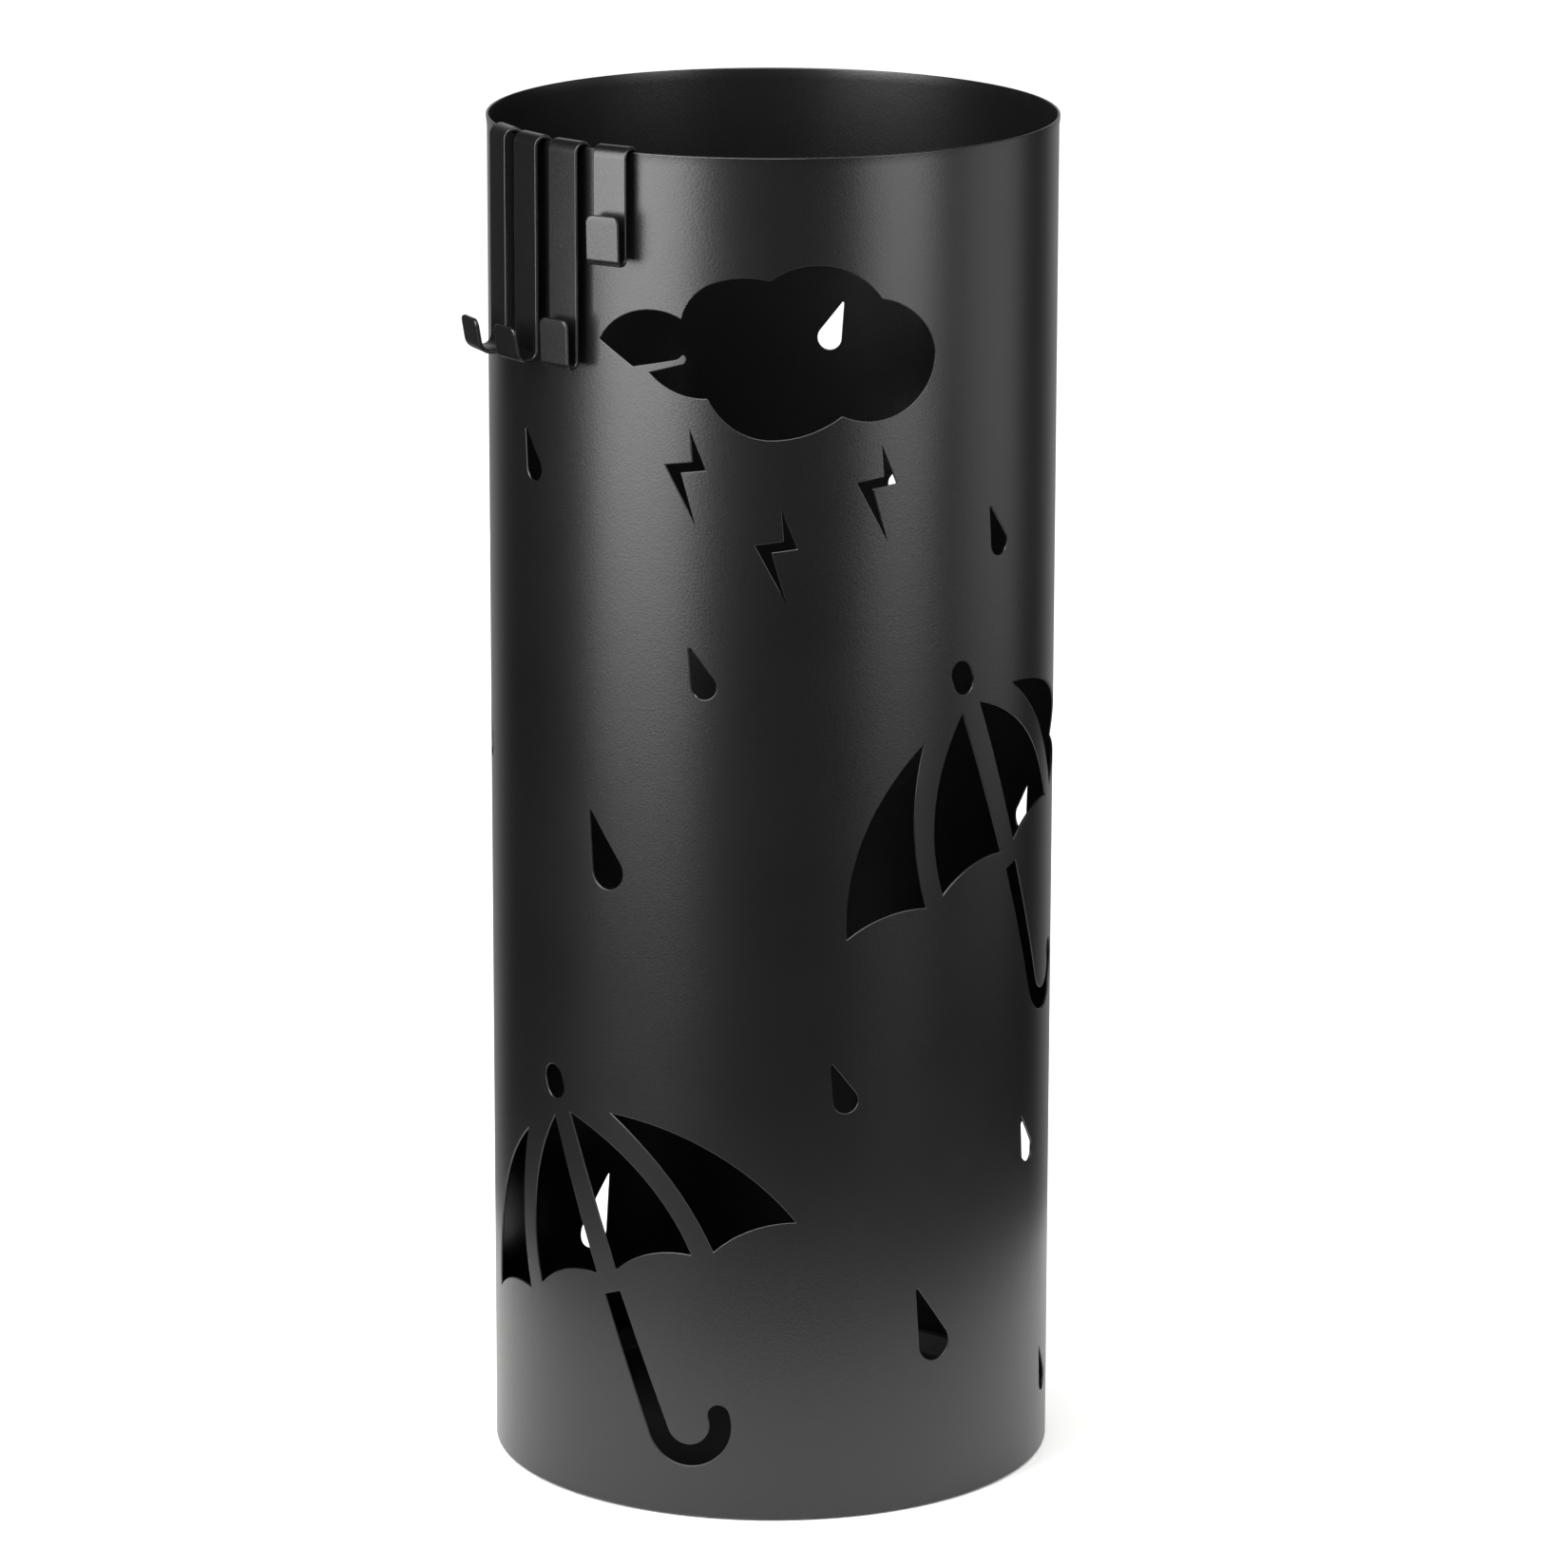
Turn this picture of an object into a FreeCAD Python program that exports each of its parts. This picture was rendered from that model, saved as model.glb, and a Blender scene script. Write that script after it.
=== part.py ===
import FreeCAD, Part
import math
import os

# Umbrella stand: an open steel tube with laser-cut weather motifs, a pressed base plate,
# a lift-out drip tray, four rubber pads, and four bent hooks that hang over the rim.
# Millimetres. +Z is up, the origin is on the floor on the tube's axis, and the front is -Y.
# Angles go round the tube from the front, positive towards +X.

Vec = FreeCAD.Vector

# Two heights closer than this count as one
SAME_LEVEL = 0.01

# Tube
TUBE_RADIUS = 100.0
STAND_HEIGHT = 485.0
SHEET = 0.9
FLOOR_GAP = 0.8
RIM_FLARE = 0.35
RIM_FLARE_HEIGHT = 4.0
CUT_MARGIN = 3.0

# Base plate, its welds, and the pads under it
BASE_UNDERSIDE = 2.6
BASE_THICKNESS = 1.2
BASE_FLANGE = 6.0
BASE_BEND = 2.4
BASE_FIT = 0.1
WELD_LEG = 1.3
WELD_LENGTH = 22.0
WELD_COUNT = 6
PAD_RADIUS = 10.0
PAD_EDGE = 1.0
PAD_INSET = 9.0
PAD_COUNT = 4

# Drip tray
TRAY_FLOOR_GAP = 0.3
TRAY_WALL = 1.8
TRAY_DEPTH = 8.7
TRAY_DRAFT = 1.5
TRAY_LIP = 1.6
TRAY_LIP_THICKNESS = 1.4
TRAY_BEND = 3.5
TRAY_PASS = 1.5

# Hooks: each is one strip, bent over the rim, down the outside and up again into a lip
HOOK_THICKNESS = 1.4
HOOK_WIDTH = 13.0
HOOK_WALL_GAP = 0.5
HOOK_CREST_GAP = 0.3
HOOK_FOLD_RADIUS = 2.6
HOOK_TAB = 16.0
HOOK_BEND_SHARE = 0.4
HOOK_CORNER = 2.6
HOOK_CORNER_SHARE = 0.4
LONG_HOOK = 78.2
SHORT_HOOK = 40.5
LOW_LIP = 12.6
TALL_LIP = 17.5

# Each hook's angle round the tube, its length, the gap behind its lip, and the lip's height and lean
HOOKS = [
    (-64.8, LONG_HOOK, 8.6, LOW_LIP, 10.0),
    (-54.0, LONG_HOOK, 6.4, LOW_LIP, 10.0),
    (-43.1, LONG_HOOK, 3.0, TALL_LIP, 2.0),
    (-31.9, SHORT_HOOK, 3.0, TALL_LIP, 2.0),
]

# The motifs are drawn on a flat sheet of this tube radius and height, and follow the tube
# when it changes. A corner is (across, up, rise): rise is how far the arc to the next corner
# stands off the straight line, to the left of the way round, and 0 is a straight side.
SHEET_RADIUS = 100.0
SHEET_HEIGHT = 485.0

CLOUD_PLACE = (0.0, 418.0)
CLOUD = [
    (-63.0, 1.5, 6.5), (-31.4, 10.7, 2.0), (-20.9, 23.5, 1.6), (-0.9, 24.8, 8.5),
    (37.8, 17.6, 4.8), (58.6, -2.8, 10.3), (24.0, -21.9, 1.7), (1.6, -29.8, 4.3),
    (-22.2, -15.9, 2.5), (-43.2, -8.2, 0.0), (-31.7, -4.9, -0.5), (-29.7, -3.0, -0.6),
    (-31.3, -1.3, 0.3), (-34.0, -3.2, 0.0), (-49.7, -6.5, 0.0),
]

BOLT = [
    (0.0, 0.0, 0.0), (5.1, -12.5, 0.0), (-3.8, -13.7, 0.0),
    (0.9, -30.1, 0.0), (-9.2, -11.4, 0.0), (0.7, -10.0, 0.0),
]
BOLT_PLACES = [(-16.2, 389.7), (1.9, 362.9), (22.1, 383.9)]

# A drop is a small round tip and a round bulb joined by straight sides.
DROP_TIP = 0.4
SMALL_DROP = (5.0, -13.4, 4.45)
LARGE_DROP = (7.4, -21.0, 6.3)
SMALL_DROP_PLACES = [
    (-58.4, 382.9), (48.9, 358.1), (-16.5, 314.8), (12.1, 166.8), (62.6, 132.5), (74.9, 40.4),
    (-89.8, 343.0), (165.1, 399.6), (111.7, 233.2), (149.4, 346.7), (180.0, 277.0), (149.0, 136.0),
    (258.0, 156.0), (226.0, 440.0),
]
LARGE_DROP_PLACES = [
    (-39.1, 252.9), (30.9, 81.3), (-89.0, 282.5), (107.5, 118.4), (217.6, 72.8), (118.0, 386.0),
    (251.0, 406.0), (134.5, 78.5),
]

# The umbrella is drawn about its own shaft, with the tip's oval at its origin.
UMBRELLA_PLACES = [(-49.8, 151.1), (41.3, 299.6), (209.0, 278.0)]
SHAFT_LEAN = 21.0
CANOPY_LEAN = 18.5
RIB = 8.8
TIP_RADIUS = 4.45
TIP_LENGTH = 3.4
INNER_PANEL = [(RIB / 2, -12.0, 7.6), (35.1, -69.8, -3.5), (RIB / 2, -69.3, 0.0)]
OUTER_PANEL = [(23.5, -15.0, 8.8), (74.4, -69.2, -3.1), (43.3, -70.8, -4.3)]
HANDLE_TOP = -77.2
HANDLE_TOP_WIDTH = 6.6
HANDLE_WIDTH = 7.6
CROOK_LEVEL = -128.5
CROOK_RADIUS = 11.7

# Sizes that follow from the ones above
inner_radius = TUBE_RADIUS - SHEET
base_top = BASE_UNDERSIDE + BASE_THICKNESS
tab_face = math.sqrt((inner_radius - HOOK_WALL_GAP) ** 2 - (HOOK_WIDTH / 2) ** 2)
tray_radius = tab_face - HOOK_THICKNESS - TRAY_PASS


def turned(shape, angle):
    """The shape turned round the tube's axis."""
    copy = shape.copy()
    copy.rotate(Vec(0, 0, 0), Vec(0, 0, 1), angle)
    return copy


def arc_middle(start, end, rise):
    """The middle of the arc from start to end that stands off its chord by rise."""
    across = end[0] - start[0]
    up = end[1] - start[1]
    length = math.hypot(across, up)
    middle_across = (start[0] + end[0]) / 2 - up / length * rise
    middle_up = (start[1] + end[1]) / 2 + across / length * rise
    return (middle_across, middle_up)


def closed_wire(corners, place):
    """A wire round the corners; place turns (across, up) into a point of space."""
    edges = []
    for index, corner in enumerate(corners):
        after = corners[(index + 1) % len(corners)]
        start = place(corner)
        end = place(after)
        if corner[2] == 0:
            edges.append(Part.LineSegment(start, end).toShape())
        else:
            middle = place(arc_middle(corner, after, corner[2]))
            edges.append(Part.Arc(start, middle, end).toShape())
    return Part.Wire(edges)


def cutter(corners, angle, height):
    """A prism that cuts one motif through the wall, square to the wall at its middle."""
    reach = [corner[0] for corner in corners]
    middle = (min(reach) + max(reach)) / 2
    half_angle = (max(reach) - middle) / SHEET_RADIUS
    near = TUBE_RADIUS + CUT_MARGIN
    far = inner_radius * math.cos(half_angle) - CUT_MARGIN

    def place(point):
        across = TUBE_RADIUS * math.sin((point[0] - middle) / SHEET_RADIUS)
        up = (height + point[1]) * STAND_HEIGHT / SHEET_HEIGHT
        return Vec(across, -near, up)

    face = Part.Face(closed_wire(corners, place))
    prism = face.extrude(Vec(0, near - far, 0))
    return turned(prism, angle + math.degrees(middle / SHEET_RADIUS))


def round_ended(tip, tip_radius, bulb, bulb_radius):
    """The outline round two circles and their common tangents, clockwise from the tip."""
    across = bulb[0] - tip[0]
    up = bulb[1] - tip[1]
    heading = math.atan2(up, across)
    spread = math.acos((tip_radius - bulb_radius) / math.hypot(across, up))

    def on_circle(centre, radius, side):
        direction = heading + side * spread
        return (centre[0] + radius * math.cos(direction), centre[1] + radius * math.sin(direction))

    def rise(radius, turn):
        return radius * (1 - math.cos(turn))

    tip_right = on_circle(tip, tip_radius, 1)
    bulb_right = on_circle(bulb, bulb_radius, 1)
    bulb_left = on_circle(bulb, bulb_radius, -1)
    tip_left = on_circle(tip, tip_radius, -1)
    return [
        (*tip_right, 0.0),
        (*bulb_right, rise(bulb_radius, spread)),
        (*bulb_left, 0.0),
        (*tip_left, rise(tip_radius, math.pi - spread)),
    ]


def drop(bulb):
    """A drop that hangs from its tip."""
    return round_ended((0.0, -DROP_TIP), DROP_TIP, bulb[:2], bulb[2])


def leaning(across, up):
    """A point of the umbrella, from its own shaft and canopy lines to the sheet's."""
    shaft = math.radians(SHAFT_LEAN)
    canopy = math.radians(CANOPY_LEAN)
    return (
        across * math.cos(canopy) - up * math.sin(shaft),
        across * math.sin(canopy) + up * math.cos(shaft),
    )


def umbrella():
    """The outlines of one umbrella: tip, four canopy panels, and handle."""
    half_tip = TIP_LENGTH / 2
    shapes = [round_ended(leaning(0, half_tip), TIP_RADIUS, leaning(0, -half_tip), TIP_RADIUS)]
    for panel in (INNER_PANEL, OUTER_PANEL):
        for side in (1, -1):
            shapes.append([(*leaning(side * across, up), side * rise) for across, up, rise in panel])
    half_top = HANDLE_TOP_WIDTH / 2
    half = HANDLE_WIDTH / 2
    inside = CROOK_RADIUS - half
    outside = CROOK_RADIUS + half
    handle = [
        (-half_top, HANDLE_TOP, 0.0),
        (half_top, HANDLE_TOP, 0.0),
        (half, CROOK_LEVEL, -inside),
        (CROOK_RADIUS + inside, CROOK_LEVEL, half),
        (CROOK_RADIUS + outside, CROOK_LEVEL, outside),
        (-half, CROOK_LEVEL, 0.0),
    ]
    shapes.append([(*leaning(across, up), rise) for across, up, rise in handle])
    return shapes


def motif_cutters():
    """One cutter for every opening in the tube's wall."""
    cutters = [cutter(CLOUD, *CLOUD_PLACE)]
    cutters += [cutter(BOLT, *place) for place in BOLT_PLACES]
    cutters += [cutter(drop(SMALL_DROP), *place) for place in SMALL_DROP_PLACES]
    cutters += [cutter(drop(LARGE_DROP), *place) for place in LARGE_DROP_PLACES]
    for place in UMBRELLA_PLACES:
        cutters += [cutter(outline, *place) for outline in umbrella()]
    return cutters


def revolved(corners):
    """A solid of revolution about the tube's axis from (radius, height, rise) corners."""
    wire = closed_wire(corners, lambda point: Vec(point[0], 0, point[1]))
    return Part.Face(wire).revolve(Vec(0, 0, 0), Vec(0, 0, 1), 360)


def tube():
    """The rolled sheet, flared a little at the top, with a rounded rim."""
    flare_start = STAND_HEIGHT - RIM_FLARE_HEIGHT
    lip = STAND_HEIGHT - SHEET / 2
    flared = TUBE_RADIUS + RIM_FLARE
    wall = revolved([
        (inner_radius, FLOOR_GAP, 0.0),
        (inner_radius, flare_start, 0.0),
        (flared - SHEET, lip, SHEET / 2),
        (flared, lip, 0.0),
        (TUBE_RADIUS, flare_start, 0.0),
        (TUBE_RADIUS, FLOOR_GAP, 0.0),
    ])
    return wall.cut(motif_cutters())


def bend_rise(radius, turn=90.0):
    """How far an arc of this radius and turn stands off its chord."""
    return radius * (1 - math.cos(math.radians(turn / 2)))


def base_plate():
    """A pressed disc whose edge turns up inside the tube."""
    outer = inner_radius - BASE_FIT
    inner = outer - BASE_THICKNESS
    top = base_top + BASE_FLANGE
    inside_bend = BASE_BEND - BASE_THICKNESS
    return revolved([
        (0.0, BASE_UNDERSIDE, 0.0),
        (0.0, base_top, 0.0),
        (inner - inside_bend, base_top, -bend_rise(inside_bend)),
        (inner, base_top + inside_bend, 0.0),
        (inner, top, 0.0),
        (outer, top, 0.0),
        (outer, BASE_UNDERSIDE + BASE_BEND, bend_rise(BASE_BEND)),
        (outer - BASE_BEND, BASE_UNDERSIDE, 0.0),
    ])


def base_welds():
    """Stitch welds under the base plate, between its edge and the tube."""
    reach = WELD_LEG + BASE_FIT + BASE_BEND
    corners = [
        (inner_radius, BASE_UNDERSIDE - WELD_LEG, 0.0),
        (inner_radius - reach, BASE_UNDERSIDE, 0.0),
        (inner_radius - BASE_FIT - BASE_BEND, BASE_UNDERSIDE, -bend_rise(BASE_BEND)),
        (inner_radius - BASE_FIT, BASE_UNDERSIDE + BASE_BEND, 0.0),
        (inner_radius, BASE_UNDERSIDE + BASE_BEND, 0.0),
    ]
    sweep = math.degrees(WELD_LENGTH / inner_radius)
    wire = closed_wire(corners, lambda point: Vec(point[0], 0, point[1]))
    bead = Part.Face(wire).revolve(Vec(0, 0, 0), Vec(0, 0, 1), sweep)
    pitch = 360.0 / WELD_COUNT
    return Part.Compound([turned(bead, index * pitch - sweep / 2) for index in range(WELD_COUNT)])


def foot_pad(index):
    """One self-adhesive rubber pad under the base plate."""
    centre = inner_radius - PAD_INSET - PAD_RADIUS
    pad = Part.makeCylinder(PAD_RADIUS, BASE_UNDERSIDE, Vec(centre, 0, 0))
    lower = [edge for edge in pad.Edges if edge.BoundBox.ZMax < BASE_UNDERSIDE / 2]
    pad = pad.makeChamfer(min(PAD_EDGE, BASE_UNDERSIDE / 2), lower)
    pitch = 360.0 / PAD_COUNT
    return turned(pad, (index + 0.5) * pitch)


def drip_tray():
    """A moulded dish with a drafted wall and a small lip that stands out at its rim."""
    bottom = base_top + TRAY_FLOOR_GAP
    rim = bottom + TRAY_DEPTH
    floor_top = bottom + TRAY_WALL
    wall_top = tray_radius - TRAY_LIP
    lip_under = rim - TRAY_LIP_THICKNESS
    wall_low = wall_top - TRAY_DRAFT
    inside_bend = TRAY_BEND - TRAY_WALL
    return revolved([
        (0.0, bottom, 0.0),
        (0.0, floor_top, 0.0),
        (wall_low - TRAY_BEND, floor_top, -bend_rise(inside_bend)),
        (wall_low - TRAY_WALL, floor_top + inside_bend, 0.0),
        (wall_top - TRAY_WALL, rim, 0.0),
        (tray_radius - TRAY_LIP_THICKNESS / 2, rim, TRAY_LIP_THICKNESS / 2),
        (tray_radius - TRAY_LIP_THICKNESS / 2, lip_under, 0.0),
        (wall_top, lip_under, 0.0),
        (wall_low, bottom + TRAY_BEND, bend_rise(TRAY_BEND)),
        (wall_low - TRAY_BEND, bottom, 0.0),
    ])


def hook(angle, length, gap, lip_height, lip_lean):
    """One hook; length is from the top of its crest to its lowest point."""
    thickness = HOOK_THICKNESS
    fold_centre = tab_face + HOOK_FOLD_RADIUS
    fold_outer = HOOK_FOLD_RADIUS + thickness
    rim_middle = TUBE_RADIUS + RIM_FLARE - SHEET / 2
    clear_radius = HOOK_FOLD_RADIUS - HOOK_CREST_GAP
    over_rim = math.sqrt(clear_radius ** 2 - (fold_centre - rim_middle) ** 2)
    fold_level = STAND_HEIGHT - over_rim
    crest = fold_level + fold_outer
    low = crest - length
    strip_in = fold_centre + HOOK_FOLD_RADIUS
    strip_out = fold_centre + fold_outer
    bend_in = gap * HOOK_BEND_SHARE
    bend_out = bend_in + thickness
    floor = low + thickness
    turn_centre = strip_out + gap - bend_in
    lean = math.radians(lip_lean)
    turn = 90.0 - lip_lean
    bend_level = floor + bend_in
    lip_length = (low + lip_height - bend_level + bend_in * math.sin(lean)) / math.cos(lean)
    tab_end = crest - HOOK_TAB

    def on_lip(radius, along):
        out = turn_centre + radius * math.cos(lean) + along * math.sin(lean)
        return (out, bend_level - radius * math.sin(lean) + along * math.cos(lean))

    profile = [
        (tab_face - thickness, tab_end, 0.0),
        (tab_face - thickness, fold_level, fold_outer),
        (strip_out, fold_level, 0.0),
        (strip_out, bend_level, -bend_rise(bend_in)),
        (strip_out + bend_in, floor, 0.0),
        (turn_centre, floor, -bend_rise(bend_in, turn)),
        (*on_lip(bend_in, 0.0), 0.0),
        (*on_lip(bend_in, lip_length), 0.0),
        (*on_lip(bend_out, lip_length), 0.0),
        (*on_lip(bend_out, 0.0), bend_rise(bend_out, turn)),
        (turn_centre, low, 0.0),
        (strip_out + bend_in, low, bend_rise(bend_out)),
        (strip_in, bend_level, 0.0),
        (strip_in, fold_level, -HOOK_FOLD_RADIUS),
        (tab_face, fold_level, 0.0),
        (tab_face, tab_end, 0.0),
    ]
    half = HOOK_WIDTH / 2
    wire = closed_wire(profile, lambda point: Vec(-half, -point[0], point[1]))
    strip = Part.Face(wire).extrude(Vec(HOOK_WIDTH, 0, 0))
    lip_end = on_lip(bend_out, lip_length)[1]

    def is_end_corner(edge):
        box = edge.BoundBox
        at_side = box.XLength < thickness / 2 and abs(abs(box.XMin) - half) < thickness / 2
        at_lip = box.ZMin > lip_end - SAME_LEVEL and -box.YMax > strip_out
        at_tab = box.ZMax < tab_end + SAME_LEVEL and -box.YMin < strip_in
        return at_side and (at_lip or at_tab) and box.ZLength < thickness / 2

    corners = [edge for edge in strip.Edges if is_end_corner(edge)]
    strip = strip.makeFillet(min(HOOK_CORNER, HOOK_CORNER_SHARE * HOOK_WIDTH), corners)
    return turned(strip, angle)


def build():
    """Every node's name and shape."""
    nodes = {
        "tube": tube(),
        "base_plate": base_plate(),
        "base_welds": base_welds(),
        "drip_tray": drip_tray(),
    }
    for index in range(PAD_COUNT):
        nodes[f"foot_pad_{index + 1}"] = foot_pad(index)
    for index, sizes in enumerate(HOOKS):
        nodes[f"hook_{index + 1}"] = hook(*sizes)
    return nodes


os.makedirs("parts", exist_ok=True)
for name, shape in build().items():
    shape.exportStep(f"parts/{name}.step")
    print(name, "valid" if shape.isValid() else "INVALID", len(shape.Solids), round(shape.Volume, 1))
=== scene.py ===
import bpy
import bmesh
import math
from mathutils import Euler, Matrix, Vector


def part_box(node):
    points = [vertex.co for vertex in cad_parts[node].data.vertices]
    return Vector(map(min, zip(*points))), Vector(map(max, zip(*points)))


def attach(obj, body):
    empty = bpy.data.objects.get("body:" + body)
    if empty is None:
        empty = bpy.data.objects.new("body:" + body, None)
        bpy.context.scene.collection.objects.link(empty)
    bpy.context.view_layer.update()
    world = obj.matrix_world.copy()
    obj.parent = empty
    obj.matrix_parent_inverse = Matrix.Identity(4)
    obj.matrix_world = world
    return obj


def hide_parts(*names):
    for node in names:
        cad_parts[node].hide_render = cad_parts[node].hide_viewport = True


# The looks of the umbrella stand: the sheet tube and the hooks with their edges rounded as
# coated sheet steel has them, rippled stitch welds, and the finish of every piece.
# Metres. +Z is up, the origin is on the floor on the tube's axis, and the front is -Y.

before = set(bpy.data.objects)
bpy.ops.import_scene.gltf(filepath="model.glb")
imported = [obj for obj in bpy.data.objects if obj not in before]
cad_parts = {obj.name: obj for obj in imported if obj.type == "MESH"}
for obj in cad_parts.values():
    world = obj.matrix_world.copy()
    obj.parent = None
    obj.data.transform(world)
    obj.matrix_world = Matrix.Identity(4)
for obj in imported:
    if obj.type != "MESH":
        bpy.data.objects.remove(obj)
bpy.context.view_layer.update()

MM = 0.001

# Joining of the CAD meshes: points closer than the first are one, edges shorter than the second go
MERGE_DISTANCE = 1e-6
SLIVER_LENGTH = 1e-7

# Edges of the coated sheet: how wide each is rounded, in how many steps, and from which angle on
SHEET_EDGE = 0.40 * MM
HOOK_EDGE = 0.42 * MM
EDGE_STEPS = 2
SHARP = math.radians(40)

# The tube's skin: a face is part of it when the cosine of its angle to the straight way out is
# above the first value, and the skin ends where the rim starts to flare
SKIN_DOT = 0.992
RIM_FLARE_HEIGHT = 4.0 * MM
SAME_LEVEL = 0.01 * MM

# Stitch welds, and the fineness of their meshes
RIPPLE_PITCH = 0.9 * MM
RIPPLE_RADIUS = 1.05 * MM
RIPPLE_FLATNESS = 0.72
WELD_LENGTH = 20.0 * MM
WELD_COUNT = 6
ARC_POINTS = 64
RIPPLE_SEGMENTS = 16
RIPPLE_RINGS = 10

# Texture sizes of the finishes. The coat's real grit is about 0.3 mm, too fine to show, so it
# is drawn coarser.
PEEL = 2.6 * MM
GRIT = 0.9 * MM
CLOUDING = 60.0 * MM
MOULD_GRAIN = 0.5 * MM
RUBBER_GRAIN = 0.4 * MM
FLOOR_TONE = 400.0 * MM

# Heights of the finishes' relief
PEEL_HEIGHT = 0.05 * MM
GRIT_HEIGHT = 0.06 * MM
MOULD_HEIGHT = 0.06 * MM
RUBBER_HEIGHT = 0.08 * MM

# How much of the coat's unevenness is grit, how far its roughness goes below and above the
# stated one, and the roughness of the other finishes from their smoothest to their dullest
GRIT_SHARE = 0.35
COAT_BELOW = 0.04
COAT_ABOVE = 0.06
PLASTIC_ROUGHNESS = (0.48, 0.62)
RUBBER_ROUGHNESS = (0.75, 0.9)

# How many of each numbered node there are
HOOK_COUNT = 4
PAD_COUNT = 4

# Camera
CAMERA_PLACE = (0.0, -2.5854, 0.8970)
CAMERA_TILT = 14.203
CAMERA_YAW = 0.0946
CAMERA_ROLL = 0.1164
LENS = 171.44
SENSOR = 36.0

# Studio: the floor's radius, its corners and the radius of its part near the stand, the
# brightness of the room and of its back wall, the light on the floor, and each lamp's place,
# aim, size and power
FLOOR_RADIUS = 12.0
FLOOR_STEPS = 96
NEAR_FLOOR_RADIUS = 0.31
ROOM = 0.02
BACK_WALL = 0.75
BACK_WALL_START = 0.72
BACK_WALL_FULL = 0.98
FLOOR_WASH = 3.6
FLOOR_WASH_SPREAD = 120.0
LIGHTS = {
    "left soft box": ((-0.82, -0.66, 0.99), (0, 0, 0.99), (0.80, 1.70), 37),
    "right soft box": ((0.88, -0.74, 0.99), (0, 0, 0.99), (0.56, 1.70), 14),
    "side panel": ((1.09, 0.10, 0.50), (0, 0, 0.50), (0.65, 0.96), 2.4),
}
TOP_LIGHT = ((-0.20, -1.05, 1.75), (0, 0, 0.45), (1.2, 0.8), 32)


def linear(hex_colour):
    """An sRGB hex colour as linear red, green, blue and alpha."""
    channels = [int(hex_colour[start:start + 2], 16) / 255 for start in (1, 3, 5)]
    return [c / 12.92 if c <= 0.04045 else ((c + 0.055) / 1.055) ** 2.4 for c in channels] + [1.0]


def add_node(tree, kind, settings=(), **links):
    """Adds a node, sets its attributes, and sets or links its inputs. A link is another node's
    socket. An input is given by its name, or by its number after an underscore."""
    node = tree.nodes.new(kind)
    for name, value in dict(settings).items():
        setattr(node, name, value)
    for name, value in links.items():
        key = int(name[1:]) if name[1:].isdigit() else name.replace("_", " ")
        if isinstance(value, bpy.types.NodeSocket):
            tree.links.new(value, node.inputs[key])
        else:
            node.inputs[key].default_value = value
    return node


def new_material(name):
    """An empty material, its node tree, and the object coordinates that its patterns use."""
    material = bpy.data.materials.new(name)
    material.use_nodes = True
    tree = material.node_tree
    tree.nodes.clear()
    place = add_node(tree, "ShaderNodeTexCoord").outputs["Object"]
    return material, tree, place


def finish_surface(tree, shader):
    """Joins the shader to the material's output."""
    add_node(tree, "ShaderNodeOutputMaterial", Surface=shader.outputs["BSDF"])


def ranged(tree, value, low, high):
    """A 0 to 1 pattern mapped to low to high."""
    node = add_node(tree, "ShaderNodeMapRange", Value=value, To_Min=low, To_Max=high)
    return node.outputs["Result"]


def noise(tree, place, size, detail=2.0):
    """Noise whose grains are about the given size across."""
    node = add_node(tree, "ShaderNodeTexNoise", Vector=place, Scale=1.0 / size, Detail=detail)
    return node.outputs["Fac"]


def two_tone(tree, pattern, dark, light):
    """A colour that goes from dark to light as the pattern goes from 0 to 1."""
    node = add_node(
        tree, "ShaderNodeMix", {"data_type": "RGBA"}, Factor=pattern,
        A=linear(dark), B=linear(light))
    return node.outputs["Result"]


def add_object(name, data):
    """A new object in the scene."""
    item = bpy.data.objects.new(name, data)
    bpy.context.scene.collection.objects.link(item)
    return item


def powder_coat(name, dark, light, roughness):
    """Satin powder coat, sprayed dry and baked: fine grit over a faint orange peel, and a
    soft sheen that is a little uneven from place to place."""
    material, tree, place = new_material(name)
    clouding = noise(tree, place, CLOUDING, detail=3.0)
    grit = noise(tree, place, GRIT, detail=3.0)
    peel = noise(tree, place, PEEL, detail=1.0)
    speckle = add_node(
        tree, "ShaderNodeMix", {"data_type": "FLOAT"}, Factor=GRIT_SHARE,
        A=clouding, B=grit).outputs["Result"]
    waves = add_node(tree, "ShaderNodeBump", Height=peel, Strength=0.10, Distance=PEEL_HEIGHT)
    relief = add_node(
        tree, "ShaderNodeBump", Height=grit, Strength=0.70, Distance=GRIT_HEIGHT,
        Normal=waves.outputs["Normal"])
    shader = add_node(
        tree, "ShaderNodeBsdfPrincipled", IOR=1.5,
        Normal=relief.outputs["Normal"], Base_Color=two_tone(tree, speckle, dark, light),
        Roughness=ranged(tree, speckle, roughness - COAT_BELOW, roughness + COAT_ABOVE))
    finish_surface(tree, shader)
    return material


def moulded_plastic(name, dark, light):
    """Black polypropylene, injection moulded in a spark-eroded tool: an even matt grain."""
    material, tree, place = new_material(name)
    grain = noise(tree, place, MOULD_GRAIN)
    flow = noise(tree, place, CLOUDING)
    relief = add_node(tree, "ShaderNodeBump", Height=grain, Strength=0.4, Distance=MOULD_HEIGHT)
    shader = add_node(
        tree, "ShaderNodeBsdfPrincipled", IOR=1.49, Normal=relief.outputs["Normal"],
        Base_Color=two_tone(tree, flow, dark, light),
        Roughness=ranged(tree, flow, *PLASTIC_ROUGHNESS))
    finish_surface(tree, shader)
    return material


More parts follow.
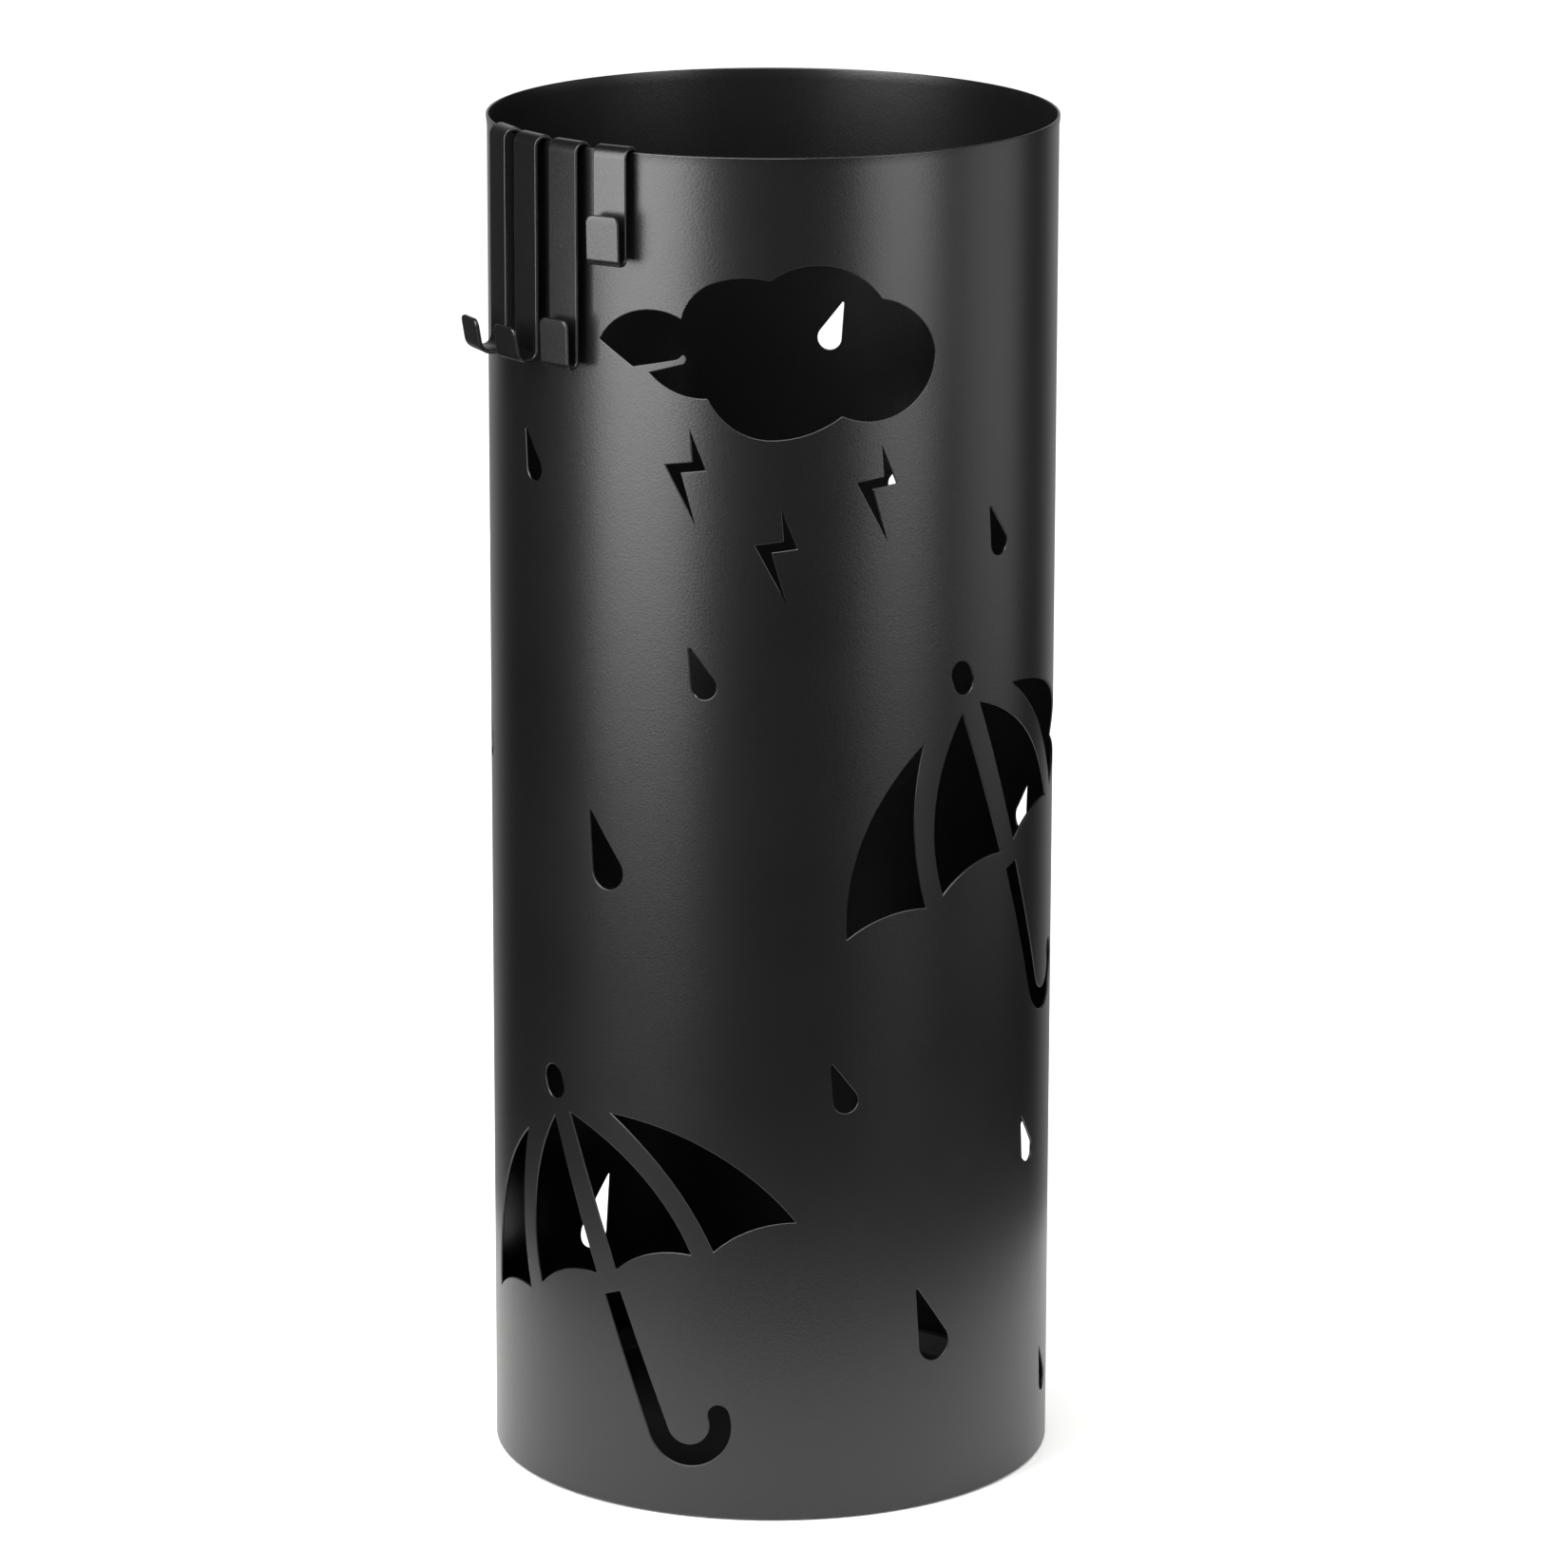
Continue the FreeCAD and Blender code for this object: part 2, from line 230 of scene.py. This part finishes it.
def pad_rubber(name, dark, light):
    """Die-cut solid rubber: dull, slightly grey, with a fine ground surface."""
    material, tree, place = new_material(name)
    grain = noise(tree, place, RUBBER_GRAIN, detail=4.0)
    relief = add_node(tree, "ShaderNodeBump", Height=grain, Strength=0.5, Distance=RUBBER_HEIGHT)
    shader = add_node(
        tree, "ShaderNodeBsdfPrincipled", IOR=1.52, Normal=relief.outputs["Normal"],
        Base_Color=two_tone(tree, grain, dark, light),
        Roughness=ranged(tree, grain, *RUBBER_ROUGHNESS))
    finish_surface(tree, shader)
    return material


def merged_copy(node):
    """A closed, welded mesh of a CAD node."""
    solid = bmesh.new()
    solid.from_mesh(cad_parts[node].data)
    bmesh.ops.remove_doubles(solid, verts=solid.verts, dist=MERGE_DISTANCE)
    bmesh.ops.dissolve_degenerate(solid, dist=SLIVER_LENGTH, edges=solid.edges)
    return solid


def round_edges(solid, width):
    """Rounds every sharp edge, as the coat does where it wraps round cut sheet."""
    edges = [edge for edge in solid.edges if edge.is_manifold and edge.calc_face_angle(0.0) > SHARP]
    bmesh.ops.bevel(
        solid, geom=edges, offset=width, offset_type="OFFSET", segments=EDGE_STEPS,
        profile=0.5, affect="EDGES", clamp_overlap=False)


def area_normal(vertex):
    """The vertex's normal, ruled by its largest faces."""
    total = Vector((0, 0, 0))
    for face in vertex.link_faces:
        total += face.normal * face.calc_area()
    return total.normalized() if total.length > 0 else vertex.normal.copy()


def piece_from(solid, name, material, normals):
    """Turns a bmesh into a smooth-shaded object with the given normal at each vertex."""
    mesh = bpy.data.meshes.new(name)
    for face in solid.faces:
        face.smooth = True
        face.material_index = 0
    solid.to_mesh(mesh)
    solid.free()
    mesh.materials.append(material)
    mesh.normals_split_custom_set_from_vertices(normals)
    return add_object(name, mesh)


def tube_wall(material):
    """The sheet tube with its motifs, every cut edge rounded."""
    solid = merged_copy("tube")
    round_edges(solid, SHEET_EDGE)
    solid.normal_update()
    straight_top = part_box("tube")[1].z - RIM_FLARE_HEIGHT
    normals = []
    for vertex in solid.verts:
        out = Vector((vertex.co.x, vertex.co.y, 0)).normalized()
        facing = [face.normal.dot(out) for face in vertex.link_faces]
        strongest = max(facing, key=abs)
        on_skin = abs(strongest) > SKIN_DOT and vertex.co.z < straight_top + SAME_LEVEL
        normals.append(out * math.copysign(1, strongest) if on_skin else area_normal(vertex))
    return piece_from(solid, "tube_wall", material, normals)


def hook_strip(node, material):
    """One hook, with the burr-free, coated edges of stamped strip."""
    solid = merged_copy(node)
    round_edges(solid, HOOK_EDGE)
    solid.normal_update()
    normals = [area_normal(vertex) for vertex in solid.verts]
    return piece_from(solid, node + "_strip", material, normals)


def weld_ripples(material):
    """Stitch welds along the joint of base plate and tube, each a row of overlapping ripples."""
    tree = bpy.data.node_groups.new("stitch_welds", "GeometryNodeTree")
    tree.interface.new_socket("Geometry", in_out="OUTPUT", socket_type="NodeSocketGeometry")
    sizes = {}
    for name in ("Seam Radius", "Height", "Stitch Length", "Ripple Pitch", "Ripple Radius"):
        sizes[name] = tree.interface.new_socket(name, in_out="INPUT", socket_type="NodeSocketFloat")
    sizes["Count"] = tree.interface.new_socket("Count", in_out="INPUT", socket_type="NodeSocketInt")
    given = add_node(tree, "NodeGroupInput").outputs

    def calc(operation, first, second):
        node = add_node(tree, "ShaderNodeMath", {"operation": operation}, _0=first, _1=second)
        return node.outputs[0]

    sweep = calc("DIVIDE", given["Stitch Length"], given["Seam Radius"])
    arc = add_node(
        tree, "GeometryNodeCurveArc", {"mode": "RADIUS"}, Resolution=ARC_POINTS,
        Radius=given["Seam Radius"], Start_Angle=calc("MULTIPLY", sweep, -0.5), Sweep_Angle=sweep)
    path = add_node(
        tree, "GeometryNodeCurveToPoints", {"mode": "LENGTH"},
        Curve=arc.outputs["Curve"], Length=given["Ripple Pitch"])
    ripple = add_node(
        tree, "GeometryNodeMeshUVSphere", Segments=RIPPLE_SEGMENTS, Rings=RIPPLE_RINGS,
        Radius=given["Ripple Radius"])
    stitch = add_node(
        tree, "GeometryNodeInstanceOnPoints", Points=path.outputs["Points"],
        Instance=ripple.outputs["Mesh"], Rotation=path.outputs["Rotation"],
        Scale=(1.0, 1.0, RIPPLE_FLATNESS))
    lifted = add_node(
        tree, "GeometryNodeTransform", Geometry=stitch.outputs["Instances"],
        Translation=add_node(
            tree, "ShaderNodeCombineXYZ", Z=given["Height"]).outputs["Vector"])
    hub = add_node(tree, "GeometryNodePoints", Count=given["Count"])
    pitch = calc("DIVIDE", math.tau, given["Count"])
    turn = calc("MULTIPLY", add_node(tree, "GeometryNodeInputIndex").outputs["Index"], pitch)
    ring = add_node(
        tree, "GeometryNodeInstanceOnPoints", Points=hub.outputs["Points"],
        Instance=lifted.outputs["Geometry"],
        Rotation=add_node(tree, "ShaderNodeCombineXYZ", Z=turn).outputs["Vector"])
    real = add_node(tree, "GeometryNodeRealizeInstances", Geometry=ring.outputs["Instances"])
    coated = add_node(
        tree, "GeometryNodeSetMaterial", Geometry=real.outputs["Geometry"], Material=material)
    add_node(tree, "NodeGroupOutput", Geometry=coated.outputs["Geometry"])

    low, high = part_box("base_welds")
    carrier = add_object("weld_rule", bpy.data.meshes.new("weld_rule"))
    modifier = carrier.modifiers.new("stitch_welds", "NODES")
    modifier.node_group = tree
    values = {
        "Seam Radius": high.x - RIPPLE_RADIUS,
        "Height": low.z + RIPPLE_RADIUS,
        "Stitch Length": WELD_LENGTH,
        "Ripple Pitch": RIPPLE_PITCH,
        "Ripple Radius": RIPPLE_RADIUS,
        "Count": WELD_COUNT,
    }
    for name, value in values.items():
        modifier[sizes[name].identifier] = value
    bpy.context.view_layer.update()
    evaluated = carrier.evaluated_get(bpy.context.evaluated_depsgraph_get())
    mesh = bpy.data.meshes.new_from_object(evaluated)
    bpy.data.objects.remove(carrier)
    mesh.name = "weld_beads"
    for polygon in mesh.polygons:
        polygon.use_smooth = True
    return add_object("weld_beads", mesh)


def stand_in(piece, node, body):
    """Puts a finished piece on its body in place of the CAD node."""
    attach(piece, body)
    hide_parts(node)


def repaint(node, material):
    """Gives a carried-over CAD node its finish."""
    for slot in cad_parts[node].material_slots:
        slot.material = material


def pale_floor():
    """A pale floor in two parts, of which only the one near the stand shows in reflections."""
    material, tree, place = new_material("pale painted floor")
    tone = noise(tree, place, FLOOR_TONE)
    shader = add_node(
        tree, "ShaderNodeBsdfPrincipled", Roughness=0.9,
        Base_Color=two_tone(tree, tone, "#efefee", "#f2f2f1"))
    finish_surface(tree, shader)
    steps = FLOOR_STEPS
    angles = [math.tau * i / steps for i in range(steps)]
    ring = [(math.cos(angle), math.sin(angle)) for angle in angles]
    near = [(x * NEAR_FLOOR_RADIUS, y * NEAR_FLOOR_RADIUS, 0.0) for x, y in ring]
    far = [(x * FLOOR_RADIUS, y * FLOOR_RADIUS, 0.0) for x, y in ring]
    around = [(i, (i + 1) % steps, steps + (i + 1) % steps, steps + i) for i in range(steps)]
    shapes = {"near_floor": (near, [tuple(range(steps))]), "far_floor": (far + near, around)}
    floors = []
    for name, (points, faces) in shapes.items():
        mesh = bpy.data.meshes.new(name)
        mesh.from_pydata(points, [], faces)
        mesh.materials.append(material)
        floor = add_object(name, mesh)
        floor.visible_glossy = name == "near_floor"
        floors.append(floor)
    return floors


def soft_box(name, place, aim, size, power):
    """A rectangular soft light at place, turned to aim."""
    light = bpy.data.lights.new(name, "AREA")
    light.shape = "RECTANGLE"
    light.size = size[0]
    light.size_y = size[1]
    light.energy = power
    lamp = add_object(name, light)
    lamp.location = place
    lamp.rotation_euler = (Vector(aim) - Vector(place)).to_track_quat("-Z", "Y").to_euler()
    lamp.visible_camera = False
    return lamp


def light_floors(lamp, floors, state):
    """Puts the lamp's light on the floors alone (INCLUDE) or keeps it off them (EXCLUDE)."""
    receivers = bpy.data.collections.new(lamp.name)
    for floor in floors:
        receivers.objects.link(floor)
    for member in receivers.collection_objects:
        member.light_linking.link_state = state
    lamp.light_linking.receiver_collection = receivers


def floor_wash(floors):
    """An even soft light from straight above, for the floors alone."""
    light = bpy.data.lights.new("floor wash", "SUN")
    light.energy = FLOOR_WASH
    light.angle = math.radians(FLOOR_WASH_SPREAD)
    light_floors(add_object("floor wash", light), floors, "INCLUDE")


def studio(floors):
    """Soft studio light: a dim room with a bright wall behind the stand, soft boxes in front of
    it to the left and right, a lower panel at its right side, a light above, and a wash on the
    floor alone. Seen directly, the room is plain white."""
    world = bpy.data.worlds.new("studio")
    world.use_nodes = True
    tree = world.node_tree
    tree.nodes.clear()
    way = add_node(tree, "ShaderNodeTexCoord").outputs["Generated"]
    back = add_node(tree, "ShaderNodeSeparateXYZ", Vector=way).outputs["Y"]
    room = add_node(
        tree, "ShaderNodeMapRange", {"interpolation_type": "SMOOTHSTEP"}, Value=back,
        From_Min=BACK_WALL_START, From_Max=BACK_WALL_FULL, To_Min=ROOM, To_Max=BACK_WALL)
    seen = add_node(tree, "ShaderNodeLightPath").outputs["Is Camera Ray"]
    strength = add_node(
        tree, "ShaderNodeMix", {"data_type": "FLOAT"}, Factor=seen, A=room.outputs["Result"], B=1.0)
    background = add_node(
        tree, "ShaderNodeBackground", Color=linear("#ffffff"), Strength=strength.outputs["Result"])
    add_node(tree, "ShaderNodeOutputWorld", Surface=background.outputs["Background"])
    bpy.context.scene.world = world
    for name, light in LIGHTS.items():
        soft_box(name, *light)
    light_floors(soft_box("top light", *TOP_LIGHT), floors, "EXCLUDE")
    floor_wash(floors)


def camera():
    """The camera, above the rim and looking down a little on the stand's front."""
    data = bpy.data.cameras.new("camera")
    data.sensor_width = SENSOR
    data.lens = LENS
    eye = add_object("camera", data)
    eye.location = CAMERA_PLACE
    turn = Euler((math.radians(90 - CAMERA_TILT), 0, math.radians(-CAMERA_YAW)), "XYZ").to_matrix()
    roll = Euler((0, 0, math.radians(CAMERA_ROLL)), "XYZ").to_matrix()
    eye.rotation_euler = (turn @ roll).to_euler()
    bpy.context.scene.camera = eye


tube_coat = powder_coat("satin black powder coat", "#060607", "#0c0c0d", 0.32)
hook_coat = powder_coat("satin black powder coat on strip", "#070708", "#0e0e0f", 0.30)
tray_plastic = moulded_plastic("matt black moulded polypropylene", "#131314", "#1a1a1b")
rubber = pad_rubber("black die-cut rubber", "#1c1c1c", "#292928")

stand_in(tube_wall(tube_coat), "tube", "stand")
stand_in(weld_ripples(tube_coat), "base_welds", "stand")
repaint("base_plate", tube_coat)
repaint("drip_tray", tray_plastic)
for number in range(1, PAD_COUNT + 1):
    repaint(f"foot_pad_{number}", rubber)
for number in range(1, HOOK_COUNT + 1):
    hook = f"hook_{number}"
    stand_in(hook_strip(hook, hook_coat), hook, hook)

studio(pale_floor())
camera()
bpy.context.scene.view_settings.view_transform = "Standard"
